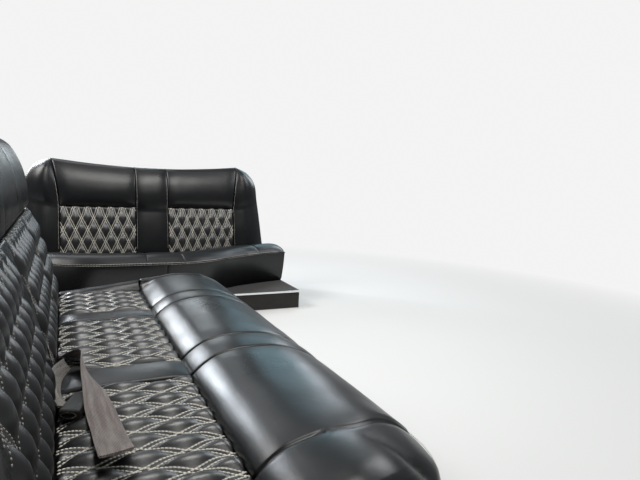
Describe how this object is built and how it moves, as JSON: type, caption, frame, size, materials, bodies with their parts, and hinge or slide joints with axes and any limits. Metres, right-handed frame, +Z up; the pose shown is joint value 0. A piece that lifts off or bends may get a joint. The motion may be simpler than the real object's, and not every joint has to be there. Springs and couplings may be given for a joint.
{
  "type": "limousine lounge seat",
  "caption": "Built-in lounge seat of a stretched saloon: a long side bench and a curved rear bench on one carpeted plinth, with quilted panels and rolled front edges.",
  "frame": {"origin": "middle of the whole seat's footprint, on the floor", "axes": "+X from the side wall towards the aisle, +Y along the car towards the rear bench, +Z up"},
  "size_m": [1.46, 2.78, 0.812],
  "materials": {
    "plain_leather": "semi-gloss",
    "quilted_leather": "semi-gloss, cream double stitching",
    "carpet": "cut pile",
    "bright_strip": "polished",
    "webbing": "woven",
    "belt_steel": "polished",
    "belt_plastic": "matte"
  },
  "bodies": {
    "root": {"belt_buckle": "belt_plastic", "belt_stalk": "belt_plastic", "belt_tongue": "belt_steel", "belt_webbing": "webbing", "kick_strip": "bright_strip", "rear_back_centre": "plain_leather", "rear_back_end_left": "plain_leather", "rear_back_end_right": "plain_leather", "rear_back_quilt_left": "quilted_leather", "rear_back_quilt_right": "quilted_leather", "rear_back_shell": "carpet", "rear_bolster": "plain_leather", "rear_head_left": "plain_leather", "rear_head_right": "plain_leather", "rear_seat_centre": "plain_leather", "rear_seat_core": "plain_leather", "rear_seat_end_left": "plain_leather", "rear_seat_end_right": "plain_leather", "rear_seat_quilt_left": "quilted_leather", "rear_seat_quilt_right": "quilted_leather", "riser_corner": "carpet", "riser_rear": "carpet", "riser_side": "carpet", "side_back_border": "plain_leather", "side_back_near_end": "plain_leather", "side_back_quilt_1": "quilted_leather", "side_back_quilt_2": "quilted_leather", "side_back_quilt_3": "quilted_leather", "side_back_shell": "carpet", "side_back_strap_1": "plain_leather", "side_back_strap_2": "plain_leather", "side_bolster": "plain_leather", "side_head_roll": "plain_leather", "side_seat_border": "plain_leather", "side_seat_core": "plain_leather", "side_seat_near_end": "plain_leather", "side_seat_quilt_1": "quilted_leather", "side_seat_quilt_2": "quilted_leather", "side_seat_quilt_3": "quilted_leather", "side_seat_strap_1": "plain_leather", "side_seat_strap_2": "plain_leather"}
  },
  "joints": []
}
